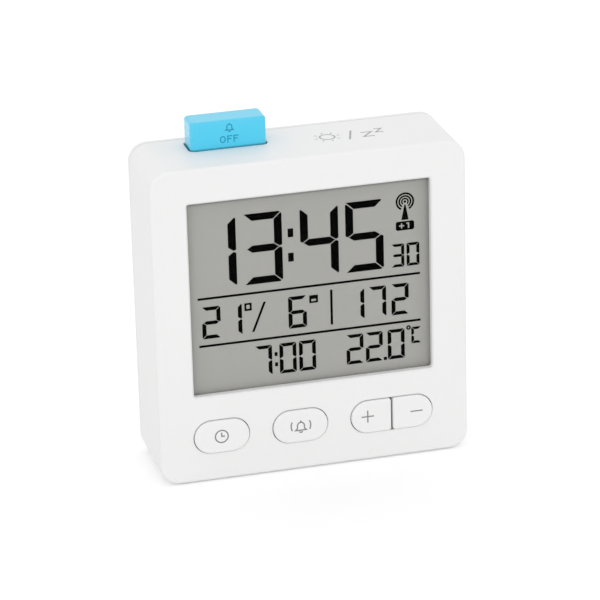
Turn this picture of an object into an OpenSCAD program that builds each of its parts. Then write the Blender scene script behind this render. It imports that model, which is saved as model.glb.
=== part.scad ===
/* [Housing] */
// Width of the housing
body_w = 85; // [84:1:96]
// Height of the housing above its feet
body_h = 87.9; // [86:0.1:98]
// Depth of the housing, front face to back
body_d = 27; // [27:0.5:34]
// Corner radius in the front view
corner_r = 5; // [5:0.5:7]
// Thickness of the housing's walls
wall_t = 2; // [1.8:0.1:2.2]
// Thickness of the rear cover's plate
cover_t = 2.2; // [2:0.1:2.6]
// Rounding of the front edge
front_round = 0.6; // [0.5:0.1:1.2]
// Rounding of the back edge
back_round = 1; // [1:0.1:1.8]
// Parting gap between housing and rear cover
parting_gap = 0.15; // [0.05:0.05:0.3]

/* [Display] */
// Housing left beside and above the window
window_border = 9.6; // [9.5:0.1:12]
// Housing left below the window
window_sill = 24.2; // [23.5:0.1:28]
// Corner radius of the window
window_round = 0.6; // [0.4:0.1:1]
// Bevel round the window
window_bevel = 0.4; // [0.2:0.1:0.6]
// Thickness of the clear lens
lens_t = 1; // [0.8:0.1:1.2]
// Width of the lens that lies behind the wall on each side
lens_lap = 1.4; // [1.2:0.1:1.5]
// Thickness of each glass of the display
glass_t = 0.7; // [0.5:0.1:0.8]
// Thickness of the light guide
guide_t = 2; // [1.6:0.1:2.2]

/* [Front keys] */
// Width of the time key and of the alarm key
key_w = 15; // [14:0.5:16]
// Height of the front keys
key_h = 9.2; // [9:0.2:10.2]
// Width of the plus and minus keys together
twin_w = 22.6; // [21:0.1:24]
// Gap between the plus key and the minus key
twin_gap = 0.5; // [0.4:0.1:0.8]
// Space between one key opening and the next
key_space = 6.6; // [6:0.05:7]
// Height of the keys' centre line above the bottom of the housing
key_row = 12.5; // [11:0.5:13]
// How far the keys stand out of the front
key_proud = 0.7; // [0.6:0.1:1]
// How far a front key goes in
key_travel = 0.6; // [0.4:0.05:0.6]

/* [Alarm-off key] */
// Length of the key, side to side
off_w = 20.5; // [18:0.5:22]
// Depth of the key, front to back
off_d = 8; // [7:0.5:8.5]
// How far the raised key stands out of the top
off_h = 7.6; // [6.5:0.1:8.5]
// Corner radius of the key from above
off_round = 1.2; // [1:0.1:2.5]
// Distance from the middle of the housing to the middle of the key
off_offset = 17.85; // [16:0.25:19]
// Place of the key's middle between the front face and the back
off_depth_share = 0.66; // [0.65:0.01:0.67]
// How far the key goes down
off_travel = 4; // [3:0.25:4.5]

/* [Battery bay] */
// Length of a cell over its terminal
cell_l = 44.5; // [44:0.1:45]
// Diameter of a cell
cell_dia = 10.5; // [10:0.1:10.5]
// Thickness of the battery door
door_t = 1.6; // [1.4:0.1:1.8]
// Height of the bay's lower edge above the bottom of the housing
bay_rise = 15.5; // [14:0.5:18]
// Radius of the door's hinge pins
pin_r = 0.8; // [0.7:0.05:0.85]

/* [Fits] */
// Seam round a moving key
seam = 0.2; // [0.15:0.05:0.35]
// Seam round the alarm-off key
off_seam = 0.4; // [0.3:0.05:0.5]
// Clearance round a seated piece
fit = 0.15; // [0.1:0.05:0.2]
// Radial clearance of a pin or plunger that runs in a bore
running_fit = 0.08; // [0.06:0.01:0.1]

/* [Feet] */
// Radius of a rubber foot
foot_r = 3.5; // [3:0.25:4]
// How far the feet stand out of the bottom
foot_proud = 0.3; // [0.3:0.1:0.8]

/* [Hidden] */

// Overrun of every cut and weld
over = 0.5;
// Facets of true round faces, and of the blanks that are blended
round_fn = 64;
blend_fn = 32;
blend_steps = 4;

// Housing planes, front to back; the keys' proud faces and the back are as far from the origin
front_y = (key_proud - body_d) / 2;
back_y = front_y + body_d;
inner_y = front_y + wall_t;
cover_y = back_y - cover_t;
parting_y = cover_y - parting_gap;
bottom_z = foot_proud;
top_z = bottom_z + body_h;
floor_z = bottom_z + wall_t;
ceiling_z = top_z - wall_t;
middle_z = (bottom_z + top_z) / 2;
inner_w = body_w - 2 * wall_t;
inner_h = body_h - 2 * wall_t;
inner_r = corner_r - wall_t;

// Window and the display stack behind it
window_w = body_w - 2 * window_border;
window_h = body_h - window_border - window_sill;
window_z = bottom_z + window_sill + window_h / 2;
polariser_t = 0.2;
polariser_lap = 0.8;
contact_ledge = 2.2;
strip_t = 1.6;
strip_inset = 2;
board_gap = 0.6;
board_t = 1.2;
lens_w = window_w + 2 * lens_lap;
lens_h = window_h + 2 * lens_lap;
film_w = window_w + 2 * polariser_lap;
film_h = window_h + 2 * polariser_lap;
lens_y = inner_y + lens_t;
front_film_y = lens_y + polariser_t;
front_glass_y = front_film_y + glass_t;
rear_glass_y = front_glass_y + glass_t;
rear_film_y = rear_glass_y + polariser_t;
guide_y = rear_film_y + guide_t;
board_y = guide_y + board_gap;
board_back = board_y + board_t;
lens_top = window_z + lens_h / 2;
strip_z = lens_top + fit + strip_t / 2;
holder_wall = 1.5;
led_w = 3;
led_h = 1.2;
led_d = 1.4;

// Screw posts in the corners, moved outwards so that they meet the wall
post_r = 2.3;
post_shift_share = 0.33;
post_x = body_w / 2 - corner_r + post_shift_share * inner_r;
post_high = top_z - corner_r + post_shift_share * inner_r;
post_low = bottom_z + corner_r - post_shift_share * inner_r;
post_places = [[post_x, post_high], [-post_x, post_high], [post_x, post_low], [-post_x, post_low]];
post_clearance = 0.3;
screw_r = 0.9;
screw_slack = 0.05;
screw_bite = 7;
screw_head_r = 2.05;
screw_head_t = 0.9;
sink_r = 2.3;
sink_depth = 1;
slot_w = 0.5;

// Front keys and their switches
row_w = 2 * key_w + 2 * key_space + twin_w;
row_shift = -0.4;
time_x = row_shift - row_w / 2 + key_w / 2;
alarm_x = time_x + key_w + key_space;
twin_x = row_shift + row_w / 2 - twin_w / 2;
half_w = (twin_w - twin_gap) / 2;
plus_x = twin_x - (twin_gap + half_w) / 2;
minus_x = twin_x + (twin_gap + half_w) / 2;
key_z = bottom_z + key_row;
key_places = [time_x, alarm_x, plus_x, minus_x];
key_round = 0.5;
split_round = 0.7;
flange_w = 0.7;
flange_t = 0.9;
flange_gap = 0.15;
fence_t = 0.8;
fence_h = 1.6;
flange_y = inner_y + flange_gap;
flange_back = flange_y + flange_t;
key_rise = flange_back - front_y + key_proud;
switch_w = 6;
switch_t = 3.5;
switch_y = board_y - switch_t;
button_r = 1.75;
button_sink = 0.9;
button_room = 0.15;
rivet_r = 0.5;
rivet_t = 0.2;
rivet_inset = 1;

// Board screws: one on each side, one on each side of the alarm key
boss_r = 1.9;
boss_side_x = inner_w / 2 - boss_r - post_clearance;
boss_rise = 7;
boss_side_z = window_z + boss_rise;
boss_mid_left = alarm_x - (key_w + key_space) / 2;
boss_mid_right = alarm_x + (key_w + key_space) / 2;
boss_places = [
    [-boss_side_x, boss_side_z], [boss_side_x, boss_side_z], [boss_mid_left, key_z], [boss_mid_right, key_z]
];
board_w = lens_w + 2 * holder_wall;
board_foot = 4;
board_low = bottom_z + board_foot;
board_high = strip_z + strip_t / 2 + holder_wall + fit;
ear_h = 7;
board_screw_r = 0.8;
board_screw_bite = 4;
board_head_r = 1.7;
board_head_t = 1.1;

// Alarm-off key, its switch and the small board under it
off_x = -off_offset;
off_y = front_y + off_depth_share * body_d;
off_top = top_z + off_h;
off_wall = 1.2;
off_edge = 0.8;
off_inner_round = 0.5;
off_flange_w = 0.9;
off_flange_t = 0.8;
off_flange_gap = 0.3;
off_flange_top = ceiling_z - off_flange_gap;
off_flange_low = off_flange_top - off_flange_t;
plunger_r = 1.65;
socket_r = 2.8;
socket_drop = 2.5;
socket_z = ceiling_z - socket_drop;
spring_room = 8.8;
spring_wire = 0.25;
spring_r = 2.25;
spring_turns = 6;
latch_w = 8.5;
latch_h = 9;
latch_top = socket_z - spring_room;
latch_low = latch_top - latch_h;
plunger_grip = 5;
plunger_sink = 2.7;
small_board_t = 1.2;
small_board_gap = 1;
small_board_d = 2 * (cover_y - off_y - small_board_gap);
groove = 0.5;
rib_t = 1.2;
rib_gap = 0.3;
rib_x = off_w / 2 + off_flange_w + rib_gap;
rib_margin = 3;

// Rear cover's lip
lip_t = 1;
lip_in = fit + lip_t;
lip_d = 2;

// Battery bay, door and hinge
cell_r = cell_dia / 2;
cell_gap = 0.3;
cell_apart = 0.7;
cell_pitch = cell_dia + cell_apart;
cell_cap = 0.8;
cap_r = 2.7;
cell_edge = 0.5;
contact_t = 0.4;
contact_w = 9;
tab_w = 2;
tab_out = 1;
spring_space = 5.7;
bay_wall = 1;
bay_w = cell_l + spring_space + 2 * contact_t;
bay_h = cell_pitch + cell_dia + 2 * cell_gap;
bay_low = bottom_z + bay_rise;
bay_high = bay_low + bay_h;
door_y = back_y - door_t;
cell_y = door_y - cell_gap - cell_r;
bay_y = cell_y - cell_r - cell_gap;
bay_front = bay_y - bay_wall;
tab_end = bay_w / 2 + bay_wall + tab_out;
low_cell_z = bay_low + cell_gap + cell_r;
high_cell_z = low_cell_z + cell_pitch;
cell_rib_t = 1;
cell_rib_h = 1.8;
ledge = 2.2;
door_gap = 0.25;
door_slack = 0.05;
door_w = bay_w + 2 * ledge;
knuckle_r = 1.2;
knuckle_gap = 0.25;
hinge_y = back_y - knuckle_r;
hinge_drop = 0.45;
hinge_z = bay_low - hinge_drop;
door_high = bay_high + ledge - door_gap;
pin_l = 1.2;
pin_end = 0.2;
bed_t = 1.45;
bed_h = 2.7;
bed_w = door_w + 2 * (door_gap + pin_l + pin_end + bay_wall);
nail_r = 6;
nail_depth = 1.2;
bump_r = 0.5;
bump_out = 0.12;
bump_l = 5;

// Contact springs of the bay
coil_wire = 0.3;
coil_small_r = 2;
coil_big_r = 3.6;
coil_turns = 4;

// Sounder behind its slots
sound_x = 18;
sound_rise = 18;
sound_z = middle_z + sound_rise;
sound_ring_r = 11.5;
sound_ring_t = 1.3;
sound_ring_h = 3.5;
disc_r = 11;
disc_t = 0.2;
ceramic_r = 7;
ceramic_t = 0.25;
slot_count = 5;
slot_h = 1.3;
slot_pitch = 2.9;
slot_reach = 8;

// Vents beside the bay, with the temperature sensor behind them
vent_count = 4;
vent_w = 6;
vent_rise = 6;
vent_x = -(bay_w / 2 + bay_wall + inner_w / 2) / 2;
vent_z = middle_z + vent_rise;
bead_r = 1.3;
bead_gap = 3;
bead_y = cover_y - bead_gap;
pin_wire = 0.25;
bead_pins = 1.4;

// Time signal antenna
rod_r = 3.5;
rod_l = 58;
rod_inset = 8.5;
rod_rise = 5.6;
rod_y = back_y - rod_inset;
rod_z = floor_z + rod_rise;
bobbin_l = 20;
bobbin_t = 0.4;
bobbin_rim = 1.4;
bobbin_rim_t = 0.8;
winding_t = 1;
cradle_t = 1.6;
cradle_x = 20;
cradle_wall = 1.2;

// Parts of the main board
blob_r = 6.5;
blob_h = 1.8;
blob_x = 8;
blob_rise = 20;
blob_z = middle_z + blob_rise;
chip_w = 5;
chip_h = 4;
chip_t = 1.3;
chip_x = 24;
chip_rise = 4;
chip_z = middle_z + chip_rise;
crystal_r = 1;
crystal_l = 3;
crystal_x = 26;
crystal_rise = 12;
crystal_z = middle_z + crystal_rise;
cap_can_r = 2;
cap_can_l = 4;
cap_x = 29;
cap_rise = 28;
cap_z = middle_z + cap_rise;

// Touch plate under the light and snooze marks
touch_share = 0.4;
touch_shift_share = 0.19;
touch_w = touch_share * body_w;
touch_d = 14;
touch_t = 0.3;
touch_x = touch_shift_share * body_w;

// Feet
foot_sink = 0.8;
foot_x = body_w / 2 - corner_r - foot_r;
foot_inset = 5;

// Leads
lead_r = 0.45;
lead_sides = 8;
coil_sides = 6;
coil_steps = 12;
lead_steps = 10;
lead_run = 4;
lead_apart = 3;
bow_share = 0.42;

function unit(v) = v / norm(v);

// The span from a to b on the right, or the same on the left
function side(s, a, b) = s < 0 ? [-b, -a] : [a, b];

function ring_at(p, along, across, r, n) =
    let (u = unit(cross(along, across)), w = unit(cross(u, along)))
    [for (k = [0:n - 1]) p + r * cos(360 * k / n) * u + r * sin(360 * k / n) * w];

function bezier(a, b, c, d, t) =
    pow(1 - t, 3) * a + 3 * pow(1 - t, 2) * t * b + 3 * (1 - t) * t * t * c + pow(t, 3) * d;

// A round wire along a row of points; it never runs in the direction across
module wire(points, r, n, across) {
    last = len(points) - 1;
    rings = [
        for (i = [0:last])
            ring_at(points[i], points[min(i + 1, last)] - points[max(i - 1, 0)], across, r, n)
    ];
    walls = [
        for (i = [0:last - 1], k = [0:n - 1])
            let (a = i * n + k, b = i * n + (k + 1) % n)
            each [[a, b, a + n], [b, b + n, a + n]]
    ];
    caps = [[for (k = [n - 1:-1:0]) k], [for (k = [0:n - 1]) last * n + k]];
    polyhedron([for (ring = rings) each ring], concat(walls, caps));
}

// A lead that leaves a along da and reaches b from the side of db, each with a straight end
module lead(a, da, b, db, across) {
    start = a + lead_r * unit(da);
    end = b + lead_r * unit(db);
    bow = [for (i = [0:lead_steps]) bezier(start, a + da, b + db, end, i / lead_steps)];
    wire(concat([a], bow, [b]), lead_r, lead_sides, across);
}

// A coil spring that rises along Z, its radius going from low_r to high_r
module coil(low_r, high_r, rise, turns, r) {
    steps = turns * coil_steps;
    points = [
        for (i = [0:steps])
            let (s = i / steps, reach = low_r + (high_r - low_r) * s, turn = 360 * i / coil_steps)
            [reach * cos(turn), reach * sin(turn), r + (rise - 2 * r) * s]
    ];
    wire(points, r, coil_sides, [0, 0, 1]);
}

module slab(x, y, z) {
    translate([x[0], y[0], z[0]])
        cube([x[1] - x[0], y[1] - y[0], z[1] - z[0]]);
}

// A front-view outline carried from depth y[0] to y[1]
module deep(y) {
    translate([0, y[1], 0])
        rotate([90, 0, 0])
            linear_extrude(height = y[1] - y[0])
                children();
}

// A rod along Y at the place p in the front view
module rod(p, y, r) {
    translate([p[0], y[1], p[1]])
        rotate([90, 0, 0])
            cylinder(h = y[1] - y[0], r = r, $fn = round_fn);
}

module rounded(w, h, r) {
    square([w - 2 * r, h], center = true);
    square([w, h - 2 * r], center = true);
    for (sx = [-1, 1], sy = [-1, 1])
        translate([sx * (w / 2 - r), sy * (h / 2 - r)])
            circle(r, $fn = round_fn);
}

module stadium(w, h) {
    square([w - h, h], center = true);
    for (s = [-1, 1])
        translate([s * (w - h) / 2, 0])
            circle(h / 2, $fn = round_fn);
}

module at_front(x, z) {
    translate([x, 0, z])
        children();
}

// A disc that rises along Z, with its upper rim rounded
module soft_disc(r, rise, rim) {
    arc = [
        for (k = [0:blend_steps])
            let (a = 90 * k / blend_steps)
            [r - rim + rim * cos(a), rise - rim + rim * sin(a)]
    ];
    rotate_extrude($fn = blend_fn)
        polygon(concat([[0, 0], [r, 0]], arc, [[0, rise]]));
}

// A block that rises along Z, with round corners and a rounded upper rim
module soft_block(w, h, r, rise, rim) {
    hull()
        for (sx = [-1, 1], sy = [-1, 1])
            translate([sx * (w / 2 - r), sy * (h / 2 - r), 0])
                soft_disc(r, rise, rim);
}

module front_blank() {
    translate([0, parting_y, middle_z])
        rotate([90, 0, 0])
            soft_block(body_w, body_h, corner_r, parting_y - front_y, front_round);
}

module back_blank() {
    translate([0, cover_y, middle_z])
        rotate([-90, 0, 0])
            soft_block(body_w, body_h, corner_r, cover_t, back_round);
}

module key_openings(grow) {
    for (x = [time_x, alarm_x])
        translate([x, key_z])
            stadium(key_w + 2 * grow, key_h + 2 * grow);
    translate([twin_x, key_z])
        stadium(twin_w + 2 * grow, key_h + 2 * grow);
}

module window_cut() {
    at_front(0, window_z) {
        deep([front_y - over, inner_y + over])
            rounded(window_w, window_h, window_round);
        hull() {
            deep([front_y - over, front_y])
                rounded(window_w + 2 * window_bevel, window_h + 2 * window_bevel, window_round);
            deep([front_y, front_y + window_bevel])
                rounded(window_w, window_h, window_round);
        }
    }
}

module off_key_slot() {
    translate([off_x, off_y, ceiling_z - over])
        linear_extrude(height = wall_t + 2 * over)
            rounded(off_w + 2 * off_seam, off_d + 2 * off_seam, off_round + off_seam);
}

module foot_places() {
    for (x = [-foot_x, foot_x], y = [front_y + foot_inset, back_y - foot_inset - cover_t])
        translate([x, y, 0])
            children();
}

module front_housing() {
    color("white")
        difference() {
            union() {
                difference() {
                    front_blank();
                    deep([inner_y, parting_y + over])
                        translate([0, middle_z])
                            rounded(inner_w, inner_h, inner_r);
                }
                for (p = post_places)
                    rod(p, [inner_y - over, cover_y], post_r);
                for (p = boss_places)
                    rod(p, [inner_y - over, board_y], boss_r);
                deep([inner_y - over, inner_y + fence_h])
                    difference() {
                        key_openings(flange_w + seam + fence_t);
                        key_openings(flange_w + seam);
                    }
            }
            window_cut();
            deep([front_y - over, inner_y + over])
                key_openings(seam);
            off_key_slot();
            foot_places()
                translate([0, 0, bottom_z - over])
                    cylinder(h = foot_sink + over, r = foot_r + fit, $fn = round_fn);
            for (p = post_places)
                rod(p, [cover_y - screw_bite - over, cover_y + over], screw_r + screw_slack);
            for (p = boss_places)
                rod(p, [board_y - board_screw_bite - over, board_y + over], board_screw_r + screw_slack);
        }
}

module cover_lip() {
    difference() {
        deep([cover_y - lip_d, cover_y + over])
            translate([0, middle_z])
                difference() {
                    rounded(inner_w - 2 * fit, inner_h - 2 * fit, inner_r - fit);
                    rounded(inner_w - 2 * lip_in, inner_h - 2 * lip_in, inner_r - lip_in);
                }
        for (p = post_places)
            rod(p, [cover_y - lip_d - over, cover_y], post_r + post_clearance);
        slab([off_x - rib_x, off_x + rib_x], [cover_y - lip_d - over, cover_y], [middle_z, top_z]);
    }
}

// Two ribs that reach forward from the cover and hold the small board in their grooves
module board_ribs() {
    difference() {
        for (s = [-1, 1])
            slab(
                [off_x + s * (rib_x + rib_t / 2) - rib_t / 2, off_x + s * (rib_x + rib_t / 2) + rib_t / 2],
                [off_y - small_board_d / 2, cover_y + over],
                [latch_low - small_board_t - rib_margin, ceiling_z - rib_margin]
            );
        slab(
            [off_x - rib_x - groove, off_x + rib_x + groove],
            [off_y - small_board_d / 2 - over, off_y + small_board_d / 2 + fit],
            [latch_low - small_board_t - fit, latch_low + fit]
        );
    }
}

module rod_cradles() {
    difference() {
        for (s = [-1, 1])
            slab(
                [s * cradle_x - cradle_t / 2, s * cradle_x + cradle_t / 2],
                [rod_y - rod_r / 2, cover_y + over],
                [rod_z - rod_r - cradle_wall, rod_z + rod_r + cradle_wall]
            );
        translate([-rod_l / 2, rod_y, rod_z])
            rotate([0, 90, 0])
                cylinder(h = rod_l, r = rod_r + running_fit, $fn = round_fn);
        slab(
            [-rod_l / 2, rod_l / 2],
            [rod_y - rod_r - over, rod_y],
            [rod_z - rod_r - running_fit, rod_z + rod_r + running_fit]
        );
    }
}

module bay_shell() {
    slab(
        [-bay_w / 2 - bay_wall, bay_w / 2 + bay_wall],
        [bay_front, cover_y + over],
        [bay_low - bay_wall, bay_high + bay_wall]
    );
    bed = [cover_y - bed_t, cover_y + over];
    slab([-bed_w / 2, bed_w / 2], bed, [hinge_z - bed_h, bay_low - bay_wall + over]);
    for (s = [-1, 1])
        slab(side(s, bay_w / 2, bed_w / 2), bed, [hinge_z - bed_h, hinge_z + bed_h]);
}

module bay_cuts() {
    slab([-bay_w / 2, bay_w / 2], [bay_y, back_y + over], [bay_low, bay_high]);
    slab(
        [-door_w / 2 - door_gap, door_w / 2 + door_gap],
        [door_y - door_slack, back_y + over],
        [hinge_z - knuckle_r - door_gap, door_high + door_gap]
    );
    translate([-door_w / 2 - door_gap, hinge_y, hinge_z])
        rotate([0, 90, 0])
            cylinder(h = door_w + 2 * door_gap, r = knuckle_r + knuckle_gap, $fn = round_fn);
    translate([-door_w / 2 - pin_l - pin_end, hinge_y, hinge_z])
        rotate([0, 90, 0])
            cylinder(h = door_w + 2 * (pin_l + pin_end), r = pin_r + running_fit, $fn = round_fn);
    rod([0, door_high], [back_y - nail_depth, back_y + over], nail_r);
    for (z = [low_cell_z, high_cell_z])
        contact_tab(z, bay_w / 2 + bay_wall + over, fit);
}

module sound_slots() {
    middle = (slot_count - 1) / 2;
    for (k = [0:slot_count - 1])
        let (rise = (k - middle) * slot_pitch, half = sqrt(slot_reach * slot_reach - rise * rise))
        at_front(sound_x, sound_z + rise)
            deep([cover_y - over, back_y + over])
                stadium(2 * half, slot_h);
}

module vents() {
    for (k = [0:vent_count - 1])
        at_front(vent_x, vent_z + (k - (vent_count - 1) / 2) * slot_pitch)
            deep([cover_y - over, back_y + over])
                stadium(vent_w, slot_h);
}

module cell_rib() {
    mid = (low_cell_z + high_cell_z) / 2;
    half = bay_w / 2 - contact_t - fit;
    slab([-half, half], [bay_y - over, bay_y + cell_rib_h], [mid - cell_rib_t / 2, mid + cell_rib_t / 2]);
}

module rear_cover() {
    color("white") {
        difference() {
            union() {
                back_blank();
                cover_lip();
                bay_shell();
                board_ribs();
                rod_cradles();
                rod([sound_x, sound_z], [cover_y - sound_ring_h, cover_y + over], sound_ring_r);
            }
            bay_cuts();
            rod([sound_x, sound_z], [cover_y - sound_ring_h - over, cover_y], sound_ring_r - sound_ring_t);
            sound_slots();
            vents();
            for (p = post_places) {
                rod(p, [cover_y - over, back_y + over], screw_r + screw_slack + fit);
                rod(p, [back_y - sink_depth, back_y + over], sink_r);
            }
        }
        cell_rib();
    }
}

module battery_door() {
    color("white") {
        translate([-door_w / 2, 0, 0])
            rotate([90, 0, 90])
                linear_extrude(height = door_w) {
                    translate([hinge_y, hinge_z])
                        circle(knuckle_r, $fn = round_fn);
                    translate([door_y, hinge_z])
                        square([door_t, door_high - hinge_z]);
                }
        translate([-door_w / 2 - pin_l, hinge_y, hinge_z])
            rotate([0, 90, 0])
                cylinder(h = door_w + 2 * pin_l, r = pin_r, $fn = round_fn);
        for (s = [-1, 1])
            translate([s * door_w / 4 - bump_l / 2, (door_y + back_y) / 2, door_high - bump_r + bump_out])
                rotate([0, 90, 0])
                    cylinder(h = bump_l, r = bump_r, $fn = round_fn);
    }
}

module display_window() {
    color("azure")
        at_front(0, window_z)
            deep([inner_y, lens_y])
                rounded(lens_w, lens_h, window_round);
}

module front_polariser() {
    color("silver")
        at_front(0, window_z)
            deep([lens_y, front_film_y])
                square([film_w, film_h], center = true);
}

module lcd_front_glass() {
    color("silver")
        at_front(0, window_z)
            deep([front_film_y, front_glass_y])
                translate([-lens_w / 2, -lens_h / 2])
                    square([lens_w, lens_h + contact_ledge]);
}

module lcd_rear_glass() {
    color("silver")
        at_front(0, window_z)
            deep([front_glass_y, rear_glass_y])
                square([lens_w, lens_h], center = true);
}

module rear_polariser() {
    color("gray")
        at_front(0, window_z)
            deep([rear_glass_y, rear_film_y])
                square([film_w, film_h], center = true);
}

module light_guide() {
    color("whitesmoke")
        difference() {
            at_front(0, window_z)
                deep([rear_film_y, guide_y])
                    square([film_w, film_h], center = true);
            led_block(fit);
        }
}

// The diode shines into a notch in the guide's left edge
module led_block(grow) {
    slab(
        [-film_w / 2 - grow, -film_w / 2 + led_d + grow],
        [board_y - led_h - board_gap - grow, board_y],
        [window_z - led_w / 2 - grow, window_z + led_w / 2 + grow]
    );
}

module backlight_led() {
    color("khaki")
        led_block(0);
}

module lcd_holder() {
    strip_top = strip_z + strip_t / 2 + fit;
    outer_low = window_z - lens_h / 2 - fit - holder_wall;
    color("whitesmoke")
        difference() {
            deep([inner_y, board_y])
                translate([-lens_w / 2 - fit - holder_wall, outer_low])
                    square([lens_w + 2 * fit + 2 * holder_wall, strip_top + holder_wall - outer_low]);
            deep([inner_y - over, rear_glass_y])
                translate([-lens_w / 2 - fit, window_z - lens_h / 2 - fit])
                    square([lens_w + 2 * fit, lens_h + contact_ledge + 2 * fit]);
            at_front(0, window_z)
                deep([rear_glass_y - over, board_y + over])
                    square([film_w + 2 * fit, film_h + 2 * fit], center = true);
            slab(
                [-lens_w / 2 + strip_inset - fit, lens_w / 2 - strip_inset + fit],
                [rear_glass_y - over, board_y + over],
                [strip_z - strip_t / 2 - fit, strip_top]
            );
            for (p = post_places)
                rod(p, [inner_y - over, board_y + over], post_r + post_clearance);
        }
}

module contact_strip() {
    color("dimgray")
        slab(
            [-lens_w / 2 + strip_inset, lens_w / 2 - strip_inset],
            [front_glass_y, board_y],
            [strip_z - strip_t / 2, strip_z + strip_t / 2]
        );
}

module main_board() {
    color("seagreen")
        difference() {
            union() {
                slab([-board_w / 2, board_w / 2], [board_y, board_back], [board_low, board_high]);
                slab(
                    [-boss_side_x - boss_r, boss_side_x + boss_r],
                    [board_y, board_back],
                    [boss_side_z - ear_h / 2, boss_side_z + ear_h / 2]
                );
            }
            for (p = post_places)
                rod(p, [board_y - over, board_back + over], post_r + post_clearance);
            for (p = boss_places)
                rod(p, [board_y - over, board_back + over], board_screw_r + fit);
        }
}

module controller_blob() {
    ball_r = (blob_r * blob_r + blob_h * blob_h) / (2 * blob_h);
    color("black")
        translate([blob_x, board_back, blob_z])
            rotate([-90, 0, 0])
                rotate_extrude($fn = round_fn)
                    intersection() {
                        translate([0, blob_h - ball_r])
                            circle(ball_r, $fn = 2 * round_fn);
                        square([blob_r, blob_h]);
                    }
}

module receiver_chip() {
    color("black")
        slab(
            [chip_x - chip_w / 2, chip_x + chip_w / 2],
            [board_back, board_back + chip_t],
            [chip_z - chip_h / 2, chip_z + chip_h / 2]
        );
}

module quartz_crystal() {
    color("silver")
        rod([crystal_x, crystal_z], [board_back, board_back + crystal_l], crystal_r);
}

module capacitor() {
    color("midnightblue")
        rod([cap_x, cap_z], [board_back, board_back + cap_can_l], cap_can_r);
}

module key_switches() {
    color("black")
        for (x = key_places) {
            difference() {
                slab(
                    [x - switch_w / 2, x + switch_w / 2],
                    [switch_y, board_y],
                    [key_z - switch_w / 2, key_z + switch_w / 2]
                );
                rod(
                    [x, key_z],
                    [switch_y - over, switch_y + button_sink + key_travel + button_room],
                    button_r + running_fit
                );
            }
            for (sx = [-1, 1], sz = [-1, 1])
                rod(
                    [x + sx * (switch_w / 2 - rivet_inset), key_z + sz * (switch_w / 2 - rivet_inset)],
                    [switch_y - rivet_t, switch_y + over],
                    rivet_r
                );
        }
}

module switch_button(x) {
    color("dimgray")
        rod([x, key_z], [flange_back, switch_y + button_sink], button_r);
}

module key_flange(w, h) {
    at_front(0, key_z)
        deep([flange_y, flange_back])
            stadium(w + 2 * flange_w, h + 2 * flange_w);
}

// A front key: cap with a rounded rim, and a flange that keeps it in
module front_key(x) {
    translate([x, 0, 0]) {
        translate([0, flange_back, key_z])
            rotate([90, 0, 0])
                hull()
                    for (s = [-1, 1])
                        translate([s * (key_w - key_h) / 2, 0, 0])
                            soft_disc(key_h / 2, key_rise, key_round);
        key_flange(key_w, key_h);
    }
}

// One half of the twin key; s is -1 on the left and 1 on the right
module half_key(s) {
    round_x = twin_x + s * (twin_w - key_h) / 2;
    split_x = twin_x + s * (twin_gap / 2 + split_round);
    translate([0, flange_back, key_z])
        rotate([90, 0, 0])
            hull() {
                translate([round_x, 0, 0])
                    soft_disc(key_h / 2, key_rise, key_round);
                for (t = [-1, 1])
                    translate([split_x, t * (key_h / 2 - split_round), 0])
                        soft_disc(split_round, key_rise, key_round);
            }
    intersection() {
        translate([twin_x, 0, 0])
            key_flange(twin_w, key_h);
        translate([twin_x, 0, 0])
            slab(side(s, twin_gap / 2, twin_w), [front_y, board_y], [key_z - key_h, key_z + key_h]);
    }
}

module alarm_off_key() {
    rise = off_top - off_flange_low;
    color("deepskyblue")
        translate([off_x, off_y, 0]) {
            difference() {
                union() {
                    translate([0, 0, off_flange_low])
                        soft_block(off_w, off_d, off_round, rise, off_edge);
                    translate([0, 0, off_flange_low])
                        linear_extrude(height = off_flange_t)
                            rounded(
                                off_w + 2 * off_flange_w, off_d + 2 * off_flange_w, off_round + off_flange_w
                            );
                }
                translate([0, 0, off_flange_low - over])
                    linear_extrude(height = rise + over - off_wall)
                        rounded(off_w - 2 * off_wall, off_d - 2 * off_wall, off_inner_round);
            }
            difference() {
                translate([0, 0, socket_z])
                    cylinder(h = off_top - off_wall - socket_z + over, r = socket_r, $fn = round_fn);
                translate([0, 0, socket_z - over])
                    cylinder(h = plunger_grip + over, r = plunger_r, $fn = round_fn);
            }
        }
}

module switch_plunger() {
    color("ivory")
        translate([off_x, off_y, latch_top - plunger_sink])
            cylinder(h = socket_z + plunger_grip - latch_top + plunger_sink, r = plunger_r, $fn = round_fn);
}

module switch_spring() {
    color("silver")
        translate([off_x, off_y, latch_top])
            coil(spring_r, spring_r, spring_room, spring_turns, spring_wire);
}

module latching_switch() {
    bore_low = latch_top - plunger_sink - off_travel - button_room;
    color("darkslategray")
        difference() {
            slab(
                [off_x - latch_w / 2, off_x + latch_w / 2],
                [off_y - latch_w / 2, off_y + latch_w / 2],
                [latch_low, latch_top]
            );
            translate([off_x, off_y, bore_low])
                cylinder(h = latch_top - bore_low + over, r = plunger_r + running_fit, $fn = round_fn);
        }
}

module switch_board() {
    color("seagreen")
        slab(
            [off_x - rib_x - groove + fit, off_x + rib_x + groove - fit],
            [off_y - small_board_d / 2, off_y + small_board_d / 2],
            [latch_low - small_board_t, latch_low]
        );
}

module touch_plate() {
    color("goldenrod")
        slab(
            [touch_x - touch_w / 2, touch_x + touch_w / 2],
            [front_y + (body_d - touch_d) / 2, front_y + (body_d + touch_d) / 2],
            [ceiling_z - touch_t, ceiling_z]
        );
}

module antenna_ring(half_l, inner, outer) {
    translate([-half_l, rod_y, rod_z])
        rotate([0, 90, 0])
            difference() {
                cylinder(h = 2 * half_l, r = outer, $fn = round_fn);
                translate([0, 0, -over])
                    cylinder(h = 2 * half_l + 2 * over, r = inner, $fn = round_fn);
            }
}

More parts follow.
